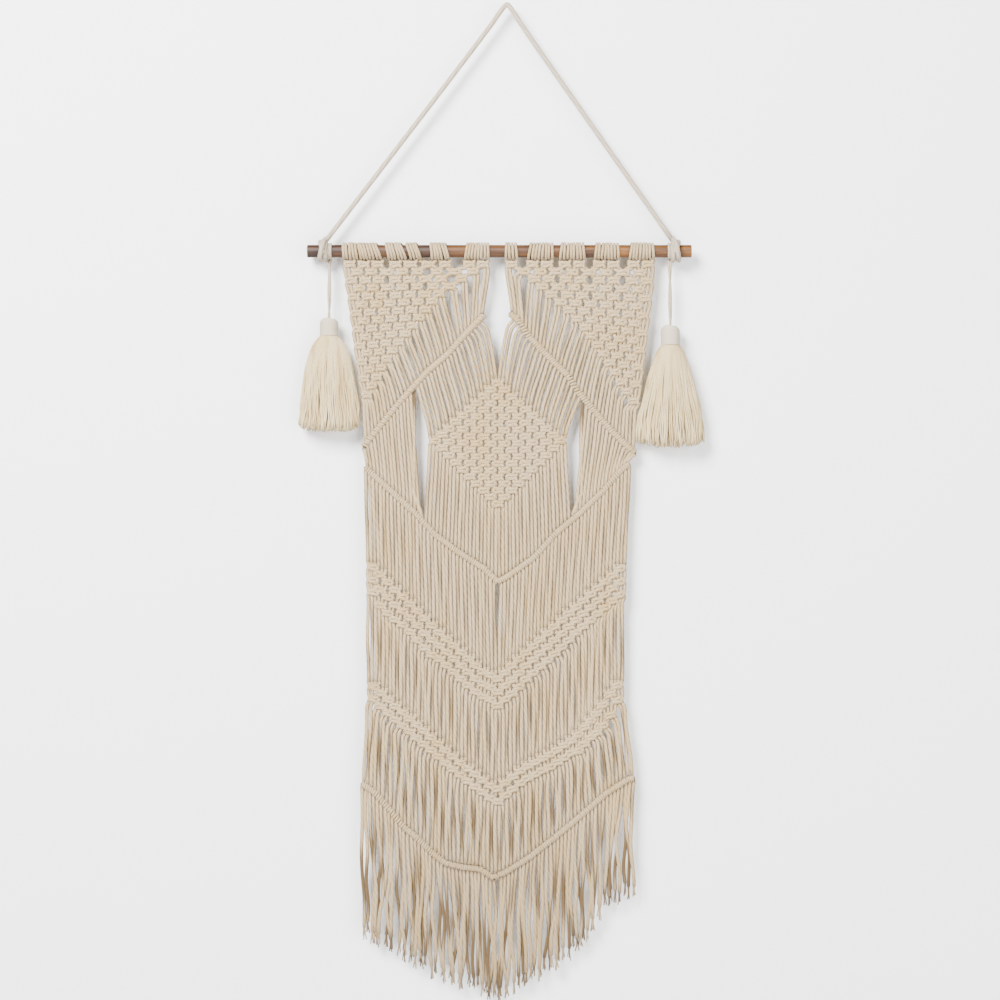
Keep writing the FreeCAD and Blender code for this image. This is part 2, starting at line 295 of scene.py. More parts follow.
def cotton_finish(name, light, dark, yellow, plies, lay, ply_depth, core_shade=0.0, shade_streaks=0.0):
    """Twisted cotton: rounded plies in a spiral with painted shade in the grooves between them,
    fine fibres, and cords that differ in tone.

    The core shade is how much painted shade darkens the cords in the middle of the cloth's
    thickness, between the cords, and with it the cords also turn darker towards the bottom of
    the hanging; the shade streaks are how much painted shade darkens it in streaks down its
    length, for the shadows between the yarns."""
    cord = Finish(name, 0.9)
    along = cord.node("SeparateXYZ", {0: cord.node("UVMap", uv_map="along")})
    around = along.output(1)
    turn = (around * plies + along * (1 / lay)) * pi
    ply = turn.math("SINE").math("ABSOLUTE")
    # painted shade in the grooves between the plies
    groove_shade = 1 - ply ** 0.6
    tone = cord.node("Attribute", out="Fac", attribute_name="tone")
    cloud = cord.noise(cord.place(), 22.0, 2.0)
    strung = cord.node("CombineXYZ", {0: along * 900, 1: around * 9 + along * 260, 2: tone * 40})
    fibre = cord.noise(strung, 1.0, 2.0)
    stain = (cloud * 2.4 - 0.95 + (tone - 0.5) * 0.9).clipped()
    colour = cord.mix(stain * 0.75, light, yellow)
    # Painted shade in the grooves between the plies, mixed with the fibres' own darker and lighter
    # tone.
    colour = cord.mix((groove_shade * 0.4 + (fibre - 0.5) * 0.5).clipped(), colour, dark)
    if shade_streaks:
        # Painted shade in random streaks down the length, for the shadows between the yarns.
        shade_streak = cord.noise(cord.place((120, 120, 14)), 1.0, 2.0)
        colour = cord.mix((shade_streak * 5 - 2.5).clipped() * shade_streaks, colour, dark)
    if core_shade:
        # Painted shade in the middle of the cloth's thickness, between the cords, where shade falls.
        across = cord.node("SeparateXYZ", {0: cord.place()})
        through = across.output(1)
        height = across.output(2)
        inner = (1.5 - through.math("ABSOLUTE") * (1 / CLOTH_CORE)).clipped()
        colour = cord.mix(inner * core_shade, colour, dark)
        # Darker towards the bottom of the hanging.
        dull = (height * -4.2 - 3.3).clipped()
        colour = cord.mix(dull * 0.4, colour, dark)
    cord.colour(colour)
    cord.surface.inputs["Sheen Weight"].default_value = 0.25
    cord.surface.inputs["Sheen Roughness"].default_value = 0.5
    cord.surface.inputs["Specular IOR Level"].default_value = 0.2
    cord.bump(ply ** 0.6 * 0.8 + fibre * 0.35, ply_depth)
    return cord.material


def curve_mesh(name, lines, steps, radius=0.0, sides=CORD_SIDES):
    """The mesh of smooth lines: round tubes or, with no radius, the lines alone.

    A point's fourth number, where it has one, is its share of the radius."""
    data = bpy.data.curves.new(name, "CURVE")
    data.dimensions = "3D"
    data.bevel_depth = radius / 1000
    data.bevel_resolution = (sides - 4) // 2
    data.resolution_u = steps
    for line in lines:
        spline = data.splines.new("NURBS")
        spline.points.add(len(line) - 1)
        spline.points.foreach_set("co", [part for point in line for part in (*point[:3], 1.0)])
        spline.points.foreach_set("radius", [(*point, 1.0)[3] for point in line])
        spline.order_u = 3
        spline.use_endpoint_u = True
    drawn = bpy.data.objects.new(name, data)
    scene.collection.objects.link(drawn)
    graph = bpy.context.evaluated_depsgraph_get()
    mesh = bpy.data.meshes.new_from_object(drawn.evaluated_get(graph))
    bpy.data.objects.remove(drawn)
    bpy.data.curves.remove(data)
    return mesh


def middle_line(line, steps=12):
    """Points along a smooth line, from the curve itself."""
    return [tuple(vertex.co) for vertex in curve_mesh("line", [line], steps).vertices]


def spun(name, lines, radius, finish, sides=CORD_SIDES, steps=2):
    """One mesh of round cords along smooth lines, with the length along each in its UV map."""
    mesh = curve_mesh(name, lines, steps, radius, sides)
    corners = np.empty(len(mesh.vertices) * 3)
    mesh.vertices.foreach_get("co", corners)
    centres = corners.reshape(-1, sides, 3).mean(axis=1)
    run = np.zeros(len(centres))
    tone = np.zeros(len(centres))
    first = 0
    for line in lines:
        rings = steps * (len(line) - 1)
        steps_along = np.linalg.norm(np.diff(centres[first:first + rings], axis=0), axis=1)
        run[first + 1:first + rings] = np.cumsum(steps_along)
        run[first:first + rings] += draw.random() * 0.1
        tone[first:first + rings] = draw.random()
        first += rings
    loops = np.empty(len(mesh.loops), dtype=np.int32)
    mesh.loops.foreach_get("vertex_index", loops)
    layer = mesh.uv_layers[0]
    layer.name = "along"
    places = np.empty(len(loops) * 2, dtype=np.float32)
    layer.uv.foreach_get("vector", places)
    places = places.reshape(-1, 2)
    places[:, 0] = run[loops // sides]
    layer.uv.foreach_set("vector", places.ravel())
    shade = mesh.attributes.new("tone", "FLOAT", "POINT")
    shade.data.foreach_set("value", np.repeat(tone, sides).astype(np.float32))

    build = bmesh.new()
    build.from_mesh(mesh)
    rims = [edge for edge in build.edges if edge.is_boundary]
    bmesh.ops.holes_fill(build, edges=rims, sides=0)
    for face in build.faces:
        face.smooth = True
    build.to_mesh(mesh)
    build.free()
    mesh.materials.clear()
    mesh.materials.append(finish)
    piece = bpy.data.objects.new(name, mesh)
    scene.collection.objects.link(piece)
    return piece


hanger_finish = cotton_finish("hanging_cotton", tint(174, 160, 140), tint(112, 96, 76),
                              tint(168, 150, 122), 3, 0.016, 0.0003)
knot_middle = {}
for side in SIDES:
    low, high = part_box("hanger_knot_" + side)
    knot_middle[side] = (low.x + high.x) / 2
    knot_top = high.z

nail_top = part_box("hanging_cord")[1].z - HANGER_RADIUS / 1000
feet = {side: (knot_middle[side] - SIDES[side] * LEG_INSIDE / 1000, 0.0, knot_top - 0.001)
        for side in SIDES}
shoulders = {side: (foot[0] * SHOULDER, 0.0, nail_top + (foot[2] - nail_top) * SHOULDER)
             for side, foot in feet.items()}
hanger_line = [
    feet["left"],
    shoulders["left"],
    (-NAIL_BEND / 2000, 0.0, nail_top + 0.0012),
    (NAIL_BEND / 2000, 0.0, nail_top + 0.0012),
    shoulders["right"],
    feet["right"],
]
hanger = spun("hanging_cord_twisted", [hanger_line], HANGER_RADIUS, hanger_finish, 12, 24)
hanger_run = middle_line(hanger_line, 24)
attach(hanger, "hanger")
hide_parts("hanging_cord")


def round_dowel(x, angle, radius):
    """A point beside the dowel: 0 degrees is its front, 90 its top."""
    return (x / 1000, -radius * cos(radians(angle)) / 1000,
            dowel_z + radius * sin(radians(angle)) / 1000)


for side, sign in SIDES.items():
    middle = knot_middle[side] * 1000
    inner = middle - sign * KNOT_TURN
    outer = middle + sign * KNOT_TURN
    tie = [round_dowel(middle - sign * LEG_INSIDE, 90, 13.5)]
    tie += [round_dowel(inner, angle, KNOT_TIGHT)
            for angle in (75, 35, -5, -45, -85, -125, -165, -205, -240)]
    tie += [round_dowel(place + sign * shift, angle, radius) for place, shift, angle, radius in (
        (inner, 0.8, -275, 10.8), (inner, 1.2, -310, 13.2), (middle, 0.0, -350, 14.2),
        (outer, -0.6, -390, 12.6))]
    tie += [round_dowel(outer, angle, KNOT_TIGHT) for angle in (-430, -470, -510, -550, -590, -625)]
    tie += [round_dowel(place + sign * shift, angle, radius) for place, shift, angle, radius in (
        (outer, -1.0, -665, 10.4), (middle, 1.0, -695, 10.0), (middle, -0.6, -712, 10.6),
        (middle, -1.4, -735, 11.6))]
    knot = spun("hanger_knot_tied_" + side, [tie], HANGER_RADIUS * 0.96, hanger_finish, 12, 5)
    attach(knot, "hanger")
    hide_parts("hanger_knot_" + side)

# ---------------------------------------------------------------- knotting cords on the dowel
# 36 cords of 3 mm twisted cotton, each folded in two and set on the dowel with a reverse lark's
# head: two turns side by side in front, and the cord's own bar behind.  72 strands hang from them.
STRANDS = 36                 # in each half of the panel
CORD_RADIUS = 1.88           # it swells where it hangs free
KNOT_RADIUS = 1.85
TURN_RADIUS = 1.36           # where the cord is pulled tight round wood or cord
WRAP_PITCH = 2.9             # from turn to turn on the dowel
TAIL_DEPTH = 10.6            # where a strand leaves its loop, below the dowel's axis
LOOP_COUNTS = {"left": (4, 3, 2, 3, 6), "right": (2, 4, 4, 4, 4)}
LOOP_GAPS = {"left": (8.6, 20.5, 13.0, 3.5, 8.0), "right": (7.6, 14.0, 8.0, 12.0, 12.5)}
SIDE_EDGE = {
    "left": [(0, 158.5), (100, 146), (150, 138.5), (212, 135), (320, 134), (459, 133), (500, 136),
             (540, 138), (800, 138)],
    "right": [(0, 163), (100, 151), (150, 145), (212, 138), (320, 131), (459, 128), (500, 135),
              (540, 138.5), (800, 138.5)],
}
NET_FIRST_ROW = 13.4
NET_ROWS = 17
NET_ROW_PITCH = {"left": (8.3, 7.1), "right": (8.7, 7.1)}       # at the side, and at the inner end
NET_KNOT_PITCH = {
    "left": [(0, 16.7), (2, 15.1), (4, 14.3), (8, 13.8), (12, 12.4), (17, 12.0)],
    "right": [(0, 17.2), (2, 16.4), (4, 15.7), (8, 14.2), (12, 14.0), (17, 14.0)],
}

# The knotting cords get painted shade in the middle of the cloth's thickness, between them.
knotting_finish = cotton_finish("knotting_cotton", tint(178, 156, 121), tint(86, 67, 42),
                                tint(174, 146, 100), 3, 0.0085, 0.0004, core_shade=0.95)
net_low, net_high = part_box("diamond_net")
panel_x = (net_low.x + net_high.x) * 500


def between(stations, place):
    """A value read between the stations of a list."""
    return float(np.interp(place, [station[0] for station in stations],
                           [station[1] for station in stations]))


def in_frame(x, depth, out=0.0):
    return ((panel_x + x) / 1000, -out / 1000, dowel_z - depth / 1000)


def side_of(strand):
    return "left" if strand < STRANDS else "right"


def from_side(strand):
    """How many strands are outside this one in its half."""
    return strand if strand < STRANDS else 2 * STRANDS - 1 - strand


runs = {}                    # each piece's lines: strand, and its points
at = {}                      # where each strand has got to: its piece's line


def lay(strand, piece, *points):
    """Carries a strand on through points of the panel, as part of a piece."""
    name = piece if piece == "diamond_net" else f"{piece}_{side_of(strand)}"
    known = at.get(strand)
    if known is None or known[0] != name:
        line = [known[1][-1]] if known else []
        runs.setdefault(name, []).append(line)
        at[strand] = (name, line)
    at[strand][1].extend(points)


def knotted(name, radius, *nodes, body=None):
    """Makes a piece of all the strands laid for it."""
    lines = [[(*in_frame(*point[:3]), *point[3:]) for point in line] for line in runs.pop(name)]
    piece = spun(name + "_knotting", lines, radius, knotting_finish)
    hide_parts(*nodes)
    if body:
        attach(piece, body)
    return piece


def loop_places(side):
    """Distance of each turn on the dowel from the centre line, outermost first."""
    places = []
    place = 0.0
    for count, gap in zip(LOOP_COUNTS[side], LOOP_GAPS[side]):
        place += gap
        for _ in range(2 * count):
            places.append(place + WRAP_PITCH / 2)
            place += WRAP_PITCH
    return places[::-1]


TURNS = {side: loop_places(side) for side in SIDES}


def net_place(strand, row):
    """x of a strand in a row of the upper net."""
    side = side_of(strand)
    number = from_side(strand)
    depth = NET_FIRST_ROW + row * NET_ROW_PITCH[side][0]
    edge = between(SIDE_EDGE[side], depth)
    even = edge - (number + 0.5) * between(NET_KNOT_PITCH[side], row) / 4
    pull = max(0.0, 0.5 - row * 0.1)
    return SIDES[side] * (even + (TURNS[side][number] - even) * pull)


def larks_head(tops, feet, circle):
    """A folded cord on the dowel: up from one tail, over the wood, along the bar, and back down."""
    halves = []
    for top, foot in zip(tops, feet):
        toward = (sum(tops) / 2 - top) * 0.8
        half = [(foot, TAIL_DEPTH, -0.6), (foot, 9.4, -4.4)]
        stations = [(foot - (foot - top) * share, angle, circle * size) for angle, size, share in (
            (-140, 1.02, 0.0), (-176, 1, 0.2), (-220, 1, 0.5), (-260, 1, 0.9), (-300, 1, 1.0),
            (-340, 1, 0.7), (-380, 1, 0.3), (-420, 1, 0.1), (-460, 1, 0.1), (-490, 1.08, 0.3))]
        stations += [(top + toward * 0.05, -512, circle * 1.3),
                     (top + toward * 0.5, -524, circle * 1.36)]
        half += [(x, -radius * sin(radians(angle)), radius * cos(radians(angle)))
                 for x, angle, radius in stations]
        halves.append(half)
    return halves[0] + halves[1][::-1]


for side, sign in SIDES.items():
    loops = []
    for number in range(0, STRANDS, 2):
        pair = (number, number + 1)
        strands = [item if side == "left" else 2 * STRANDS - 1 - item for item in pair]
        shift = draw.uniform(-0.35, 0.35)
        tops = [sign * TURNS[side][item] + shift + draw.uniform(-0.3, 0.3) for item in pair]
        feet = [top + (net_place(strand, 0) - top) * 0.8 + draw.uniform(-0.5, 0.5)
                for top, strand in zip(tops, strands)]
        loops.append(larks_head(tops, feet, draw.uniform(8.0, 8.6)))
        for strand, foot in zip(strands, feet):
            at[strand] = ("", [(foot, TAIL_DEPTH, -0.6)])
    runs["larks_heads_" + side] = loops
    knotted("larks_heads_" + side, TURN_RADIUS, "larks_heads_" + side, body="panel_upper")

# ---------------------------------------------------------------- upper nets
# Two triangles of alternating square knots, tied from the dowel down.  Each knot ties two outer
# strands round two straight ones, and each row is half a knot over from the one above.
KNOT_TALL = 0.98             # a knot's height, as a share of the lines below
KNOT_ENDS = 3.9              # where its strands come in above its middle and leave below it
CORE_ACROSS = 1.6            # its two straight strands, from its middle
KNOT_ROOM = 1.8              # what is left between its end strands and the next knot's

# A knot's two tying cords: across it, up it, and out to the front.
FIRST_CORD = [
    (-8.0, 3.9, 0.0), (-5.6, 2.6, -0.2), (-2.4, 1.9, 2.3), (2.2, 1.5, 2.5), (4.5, 1.2, 0.6),
    (5.1, 0.0, -0.4), (4.5, -1.2, 0.6), (2.2, -1.5, 2.5), (-2.4, -1.9, 2.3), (-5.6, -2.6, -0.2),
    (-8.0, -3.9, 0.0)]
SECOND_CORD = [
    (8.0, 3.9, 0.0), (5.5, 2.6, 1.4), (4.4, 1.0, 2.2), (3.5, 0.2, 0.0), (1.5, 0.6, -2.5),
    (-2.0, 0.8, -2.5), (-4.2, 1.2, -0.8), (-4.9, 1.0, 1.4), (-5.1, 0.0, 2.2), (-4.9, -1.0, 1.4),
    (-4.2, -1.2, -0.8), (-2.0, -0.8, -2.5), (1.5, -0.6, -2.5), (3.5, -0.2, 0.0), (4.4, -1.0, 2.2),
    (5.5, -2.6, 1.4), (8.0, -3.9, 0.0)]


def square_knot(piece, first, x, depth, wide=0.92, lean=0.0, flip=False, span=7.2):
    """Ties strands first to first + 3 together about a point, with its neighbours a span away."""
    mirror = -1 if flip else 1
    turn = draw.uniform(-0.06, 0.06) + lean
    x += draw.uniform(-0.25, 0.25)
    depth += draw.uniform(-0.25, 0.25)
    end = max(4.0, (span - KNOT_ROOM) / wide)

    def carry(strand, points):
        spread = [min(max(across, -end), end) for across, _, _ in points]
        lay(strand, piece, *[
            (x + across * wide, depth - up * KNOT_TALL + turn * across, out)
            for across, (_, up, out) in zip(spread, points)])

    outer = (first, first + 3) if not flip else (first + 3, first)
    carry(outer[0], [(mirror * across, up, out) for across, up, out in FIRST_CORD])
    carry(outer[1], [(mirror * across, up, out) for across, up, out in SECOND_CORD])
    for strand, across in ((first + 1, -CORE_ACROSS), (first + 2, CORE_ACROSS)):
        carry(strand, [(across, KNOT_ENDS, 0.0), (across, -KNOT_ENDS, 0.0)])


for side in SIDES:
    for row in range(NET_ROWS):
        start = 0 if row % 2 == 0 else 2
        for number in range(start, STRANDS - 3 - 2 * row, 4):
            first = number if side == "left" else 2 * STRANDS - 4 - number
            outside, inside = NET_ROW_PITCH[side]
            pitch = outside + (inside - outside) * number / STRANDS
            x = (net_place(first, row) + net_place(first + 3, row)) / 2
            span = abs(net_place(first + 3, row) - net_place(first, row)) / 1.5
            square_knot("upper_net", first, x, NET_FIRST_ROW + row * pitch, span=span,
                        wide=0.92 * min(1.16, span / 7.25), flip=row % 2 == 1)
    knotted("upper_net_" + side, KNOT_RADIUS, "upper_net_" + side, body="panel_upper")

# ---------------------------------------------------------------- upper hitch line
# Free strands below each net, then a slanting line where every strand is tied with a double half
# hitch round a cord laid across them.
UPPER_LINE = {
    "left": [(8, 62), (15, 66), (32.5, 84), (51, 105), (71, 122), (84, 136), (100, 154),
             (118, 176), (138, 201)],
    "right": [(8, 60), (20, 69), (33, 88), (57, 112.5), (72, 127), (82, 143), (97, 161),
              (117, 184), (138, 204)],
}
UPPER_INNER = {"left": 14.0, "right": 13.0}
HITCH_RADIUS = 2.6
HITCH_STEP = 60              # degrees between its points
HITCH_ABOVE = 4.0            # a strand comes to the hitch from this far above the line
STRAND_PITCH = 3.7           # between free strands, across the panel
LINE_EDGE_DEPTH = 200        # where the line meets the panel's side


def drift(strand, depth, amount):
    """How far a free strand strays sideways: in loose waves, which its neighbours partly share."""
    shared = 0.9 * sin(strand * 0.55 + depth / 34)
    own = 0.6 * sin(strand * 2.1 - depth / 19) + 0.5 * sin(strand * 3.7 + depth / 11)
    return amount * (shared + own)


def free_run(strand, piece, target, start=None, amount=0.3, spacing=9.0, early=0.0):
    """A strand hanging free from where it is to a place further down."""
    x0, depth0 = at[strand][1][-1][:2]
    x1, depth1 = target
    start = x0 if start is None else start
    length = depth1 - depth0
    count = max(3, int(length / spacing))
    points = [(start, depth0 + min(4.0, 0.3 * length), 0.2)]
    for number in range(1, count + 1):
        share = number / (count + 1)
        depth = depth0 + length * share
        bend = share * share * (3 - 2 * share)
        over = (1 - early) * (0.5 * share + 0.5 * bend) + early * share ** 0.45
        x = start + (x1 - start) * over
        loose = sin(pi * share) ** 0.7
        points.append((x + loose * drift(strand, depth, amount), depth,
                       loose * (0.3 + amount) * sin(strand * 2.4 + depth / 25)))
    lay(strand, piece, *points, (x1, depth1, 0.2))


def slope(line, x):
    return (between(line, x + 3) - between(line, x - 3)) / 6


def half_hitches(strand, piece, x, depth, fall, sign):
    """A strand's double half hitch round the holding cord, which falls that much per mm outward."""
    run = (1 + fall * fall) ** 0.5
    pitch = STRAND_PITCH / 2 * run
    thick = min(1.0, 0.55 * pitch / TURN_RADIUS)
    tilt = draw.uniform(-0.25, 0.25)
    points = []
    for step in range(13):
        angle = 180 + step * HITCH_STEP
        along = (angle - 540) / 360 * pitch
        up = HITCH_RADIUS * sin(radians(angle))
        out = HITCH_RADIUS * cos(radians(angle))
        along += tilt * up / HITCH_RADIUS
        points.append((
            x + sign * (along + up * fall) / run,
            depth + (along * fall - up) / run,
            out, thick))
    lay(strand, piece, *points)


def hitch_row(piece, line_of, places):
    """Ties each strand to the holding cord where the line crosses its place."""
    for strand, x in places.items():
        side = side_of(strand)
        line = line_of[side]
        half_hitches(strand, piece, x, between(line, abs(x)), slope(line, abs(x)), SIDES[side])


def holding_cord(name, line, sign, start, end):
    """The cord that the hitches are tied round."""
    points = [(sign * distance, between(line, distance), 0.0)
              for distance in np.linspace(start, end, 25)]
    runs.setdefault(name, []).append(points)


upper_places = {}
for strand in range(2 * STRANDS):
    side = side_of(strand)
    edge = between(SIDE_EDGE[side], LINE_EDGE_DEPTH)
    share = (from_side(strand) + 0.5) / STRANDS
    upper_places[strand] = SIDES[side] * (edge + (UPPER_INNER[side] - edge) * share)
for strand, x in upper_places.items():
    side = side_of(strand)
    target = between(UPPER_LINE[side], abs(x)) - HITCH_ABOVE
    row = (at[strand][1][-1][1] - 3.8 - NET_FIRST_ROW) / NET_ROW_PITCH[side][1]
    free_run(strand, "upper_strands", (x, target), net_place(strand, max(row, 0.0)), 0.25)
hitch_row("hitch_line", UPPER_LINE, upper_places)
for side, sign in SIDES.items():
    edge = between(SIDE_EDGE[side], LINE_EDGE_DEPTH)
    holding_cord("hitch_line_" + side, UPPER_LINE[side], sign, UPPER_INNER[side] - 1.5, edge)
    knotted("upper_strands_" + side, CORD_RADIUS, "upper_strands_" + side, body="panel_upper")

# ---------------------------------------------------------------- diamond
# The 40 middle strands go down into a diamond of alternating square knots.
DIAMOND_ROWS = 19
DIAMOND_FIRST = 16           # strands outside the diamond in each half
DIAMOND_TOP = 134.5
DIAMOND_ROW_PITCH = 6.8
DIAMOND_STRAND_PITCH = 3.53
DIAMOND_LIFT = 3.5           # its side corners stand this much higher
DIAMOND_HALF_WIDTH = 69
TIE_ABOVE = 5.5              # free strands end this far above a knot's middle

centre = STRANDS - 0.5       # between the two middle strands


def diamond_place(strand):
    return (strand - centre) * DIAMOND_STRAND_PITCH


started = set()
for row in range(DIAMOND_ROWS):
    reach = min(row, DIAMOND_ROWS - 1 - row)
    for first in range(STRANDS - 2 - 2 * reach, STRANDS - 2 + 2 * reach + 1, 4):
        x = (diamond_place(first) + diamond_place(first + 3)) / 2
        depth = DIAMOND_TOP + row * DIAMOND_ROW_PITCH - DIAMOND_LIFT * (x / DIAMOND_HALF_WIDTH) ** 2
        for strand in range(first, first + 4):
            if strand not in started:
                started.add(strand)
                target = (diamond_place(strand), depth - TIE_ABOVE)
                free_run(strand, "diamond_upper_strands", target, amount=0.25,
                         early=max(0.0, from_side(strand) / 8 - 3.4))
        square_knot("diamond_net", first, x, depth, flip=row % 2 == 1)

for side in SIDES:
    knotted("hitch_line_" + side, TURN_RADIUS, "hitch_line_" + side, body="panel_upper")
    knotted("diamond_upper_strands_" + side, CORD_RADIUS, "diamond_upper_strands_" + side,
            body="panel_upper")
knotted("diamond_net", KNOT_RADIUS, "diamond_net", body="panel_upper")

# ---------------------------------------------------------------- chevrons
# Four chevrons cross the whole panel, with free strands between them.  The first and the last are
# lines of double half hitches; the second has three diagonals of square knots and the third two.
CHEVRONS = {
    1: {
        "left": [(0, 336), (13, 323), (39.5, 306), (64, 288), (83, 267), (107, 245), (129, 225),
                 (140, 214)],
        "right": [(0, 336), (11, 330), (37.5, 311), (60, 286), (83, 267), (107, 244), (126, 222),
                  (140, 212)],
    },
    2: {
        "left": [(0, 431), (15, 424), (40, 401.5), (62, 382), (83, 361), (103, 342), (122, 322),
                 (140, 307)],
        "right": [(0, 431), (8, 424), (25.5, 407.5), (47, 388), (73, 364), (97, 343), (121, 322),
                  (140, 305)],
    },
    3: {
        "left": [(0, 545), (14, 535), (38.6, 516), (69, 489.5), (97, 465), (120, 444), (140, 428)],
        "right": [(0, 543), (26, 522), (56, 506.5), (79, 491), (100, 467), (119, 440), (140, 420)],
    },
    4: {
        "left": [(0, 634), (4, 637), (18, 628), (36, 626), (53, 622), (67, 611), (83, 595),
                 (95, 585.6), (111, 566), (126, 549), (140, 540)],
        "right": [(0, 634), (7, 632), (31.5, 616.5), (56, 597.5), (83, 575), (109, 552),
                  (132, 537), (142, 534)],
    },
}
PANEL_HALF_WIDTH = 134       # where the chevrons are
KNOT_LEAN = 0.22             # the knots of a diagonal lean with it
SLOT_STRAND = 84.5           # the strand outside each open slot, from the centre line


def even_place(strand, depth):
    """x of a strand when all of them share the panel's width."""
    side = side_of(strand)
    edge = between(SIDE_EDGE[side], depth)
    return SIDES[side] * edge * (1 - (from_side(strand) + 0.5) / STRANDS)


def hitched_chevron(piece, number, above, amount):
    """A line of double half hitches; above gives the piece that a strand hangs in before it."""
    places = {}
    for strand in range(2 * STRANDS):
        side = side_of(strand)
        x = even_place(strand, between(CHEVRONS[number][side], 70))
        places[strand] = x
        depth = between(CHEVRONS[number][side], abs(x))
        start = even_place(strand, depth - 60) if number == 4 else None
        free_run(strand, above(strand), (x, depth - HITCH_ABOVE), start, amount)
    hitch_row(piece, CHEVRONS[number], places)
    for side, sign in SIDES.items():
        edge = abs(places[0 if side == "left" else 2 * STRANDS - 1]) + 2
        holding_cord(f"{piece}_{side}", CHEVRONS[number][side], sign, 0.0, edge)


def knotted_chevron(piece, number, rows, above, amount):
    """Diagonals of square knots; each knot is tied when the strands from above reach it."""
    ties = []
    for first in range(0, 2 * STRANDS - 3, 2):
        guess = (first + 1.5 - centre) / STRANDS * PANEL_HALF_WIDTH
        side = "left" if guess < 0 else "right"
        line = CHEVRONS[number][side]
        top = between(line, abs(guess)) + 3.4
        x = (even_place(first, top) + even_place(first + 3, top)) / 2
        top = between(line, abs(x)) + 3.4
        step = abs(slope(line, max(8, abs(x)))) * 2 * PANEL_HALF_WIDTH / STRANDS
        for row in range(rows):
            ties.append((top + row * 2 * max(6.2, step), first, x, row))
    for depth, first, x, row in sorted(ties):
        if row == 0:
            for strand in range(first, first + 4):
                if at[strand][0] != f"{piece}_{side_of(strand)}":
                    target = (even_place(strand, depth), depth - TIE_ABOVE)
                    start = even_place(strand, depth) if number == 3 else None
                    free_run(strand, above(strand), target, start, amount)
        lean = 0.0 if abs(x) < 4 else -KNOT_LEAN * (1 if x > 0 else -1)
        square_knot(piece, first, x, depth, wide=0.95, lean=lean, flip=first % 4 == 0)


def above_first(strand):
    outside = from_side(strand) < DIAMOND_FIRST
    return "side_strands" if outside else "diamond_lower_strands"


for strand in range(2 * STRANDS):
    if from_side(strand) == DIAMOND_FIRST - 1:
        side = side_of(strand)
        x = SIDES[side] * SLOT_STRAND
        depth = at[strand][1][-1][1]
        lay(strand, "side_strands", (x, depth + 25, 0), (x * 1.005, 215, 0), (x * 1.01, 243, 0))
hitched_chevron("chevron_1", 1, above_first, 0.2)
for side in SIDES:
    knotted("side_strands_" + side, CORD_RADIUS, "side_strands_" + side, body="panel_upper")
knotted_chevron("chevron_2", 2, 3, lambda strand: "span_1", 0.35)
for side in SIDES:
    for piece, radius, nodes in (
            ("diamond_lower_strands", CORD_RADIUS, ["diamond_lower_strands"]),
            ("chevron_1", TURN_RADIUS, ["chevron_1"]),
            ("span_1", CORD_RADIUS, ["span_1_upper", "span_1_lower"])):
        made = knotted(f"{piece}_{side}", radius, *[f"{node}_{side}" for node in nodes])
        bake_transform(made)
knotted_chevron("chevron_3", 3, 2, lambda strand: "span_2", 0.6)
for side in SIDES:
    made = knotted("chevron_2_" + side, KNOT_RADIUS, "chevron_2_" + side)
    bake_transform(made)
    made = knotted("span_2_" + side, CORD_RADIUS, "span_2_" + side)
    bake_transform(made)
hitched_chevron("chevron_4", 4, lambda strand: "span_3", 0.95)
for side in SIDES:
    made = knotted("chevron_3_" + side, KNOT_RADIUS, "chevron_3_" + side)
    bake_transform(made)
    made = knotted("span_3_" + side, CORD_RADIUS, "span_3_upper_" + side, "span_3_lower_" + side)
    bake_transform(made)

# ---------------------------------------------------------------- fringe
# The 72 strands end in a fringe, cut to a ragged point, and their plies come apart at the ends.
HEM = {
    "left": [(0, 757), (10, 756), (25, 752), (38, 746), (52, 741), (64, 738), (75, 727), (90, 720),
             (105, 713), (121, 706), (130, 698), (142, 692)],
    "right": [(0, 757), (12, 756), (26, 748), (39, 740), (55, 732), (68, 722), (82, 706), (92, 696),
              (100, 686), (110, 668), (125, 660), (142, 652)],
}
FRAY = 11.0                  # the plies have come apart over this much of a strand's end
PLY_RADIUS = 0.62
PLY_OUT = 0.75               # a ply's middle, from its strand's

for strand in range(2 * STRANDS):
    side = side_of(strand)
    x0, depth0 = at[strand][1][-1][:2]
    hang = even_place(strand, 700) + draw.uniform(-1.6, 1.6)
    end = between(HEM[side], abs(hang)) + draw.uniform(-6, 4) - FRAY
    count = max(4, int((end - depth0) / 11))
    phase = draw.uniform(0, 2 * pi)
    points = [(x0, depth0 + 4.0, 0.2)]
    for number in range(1, count + 1):
        share = number / count
        depth = depth0 + (end - depth0) * share
        x = x0 + (hang - x0) * min(1.0, share * 2.5)
        x += drift(strand, depth, 1.5) * min(1.0, 2 * share) + 0.8 * share * sin(phase + depth / 9)
        points.append((x, depth, 1.6 * min(1.0, 2 * share) * sin(phase + depth / 24)))
    lay(strand, "fringe", *points)
    tip = points[-1]
    for ply in range(3):
        angle = phase + ply * 2 * pi / 3
        spread = draw.uniform(0.8, 2.4)
        length = FRAY * draw.uniform(0.75, 1.2)
        fray = [(tip[0] + PLY_OUT * cos(angle), tip[1] + down, tip[2] + PLY_OUT * sin(angle))
                for down in (-2.5, 0.5)]
        fray += [(tip[0] + spread * step * cos(angle + step), tip[1] + length * step,
                  tip[2] + 0.6 * spread * step * sin(angle + step)) for step in (0.35, 0.7, 1.0)]
        runs.setdefault("fringe_ends_" + side, []).append(fray)
for side in SIDES:
    made = knotted("chevron_4_" + side, TURN_RADIUS, "chevron_4_" + side)
    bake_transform(made)
    made = knotted("fringe_" + side, CORD_RADIUS, "fringe_" + side)
    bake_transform(made)
    lines = [[in_frame(*point) for point in line] for line in runs.pop("fringe_ends_" + side)]
    made = spun("fringe_ends_" + side, lines, PLY_RADIUS, knotting_finish, 6, 2)
    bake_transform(made)

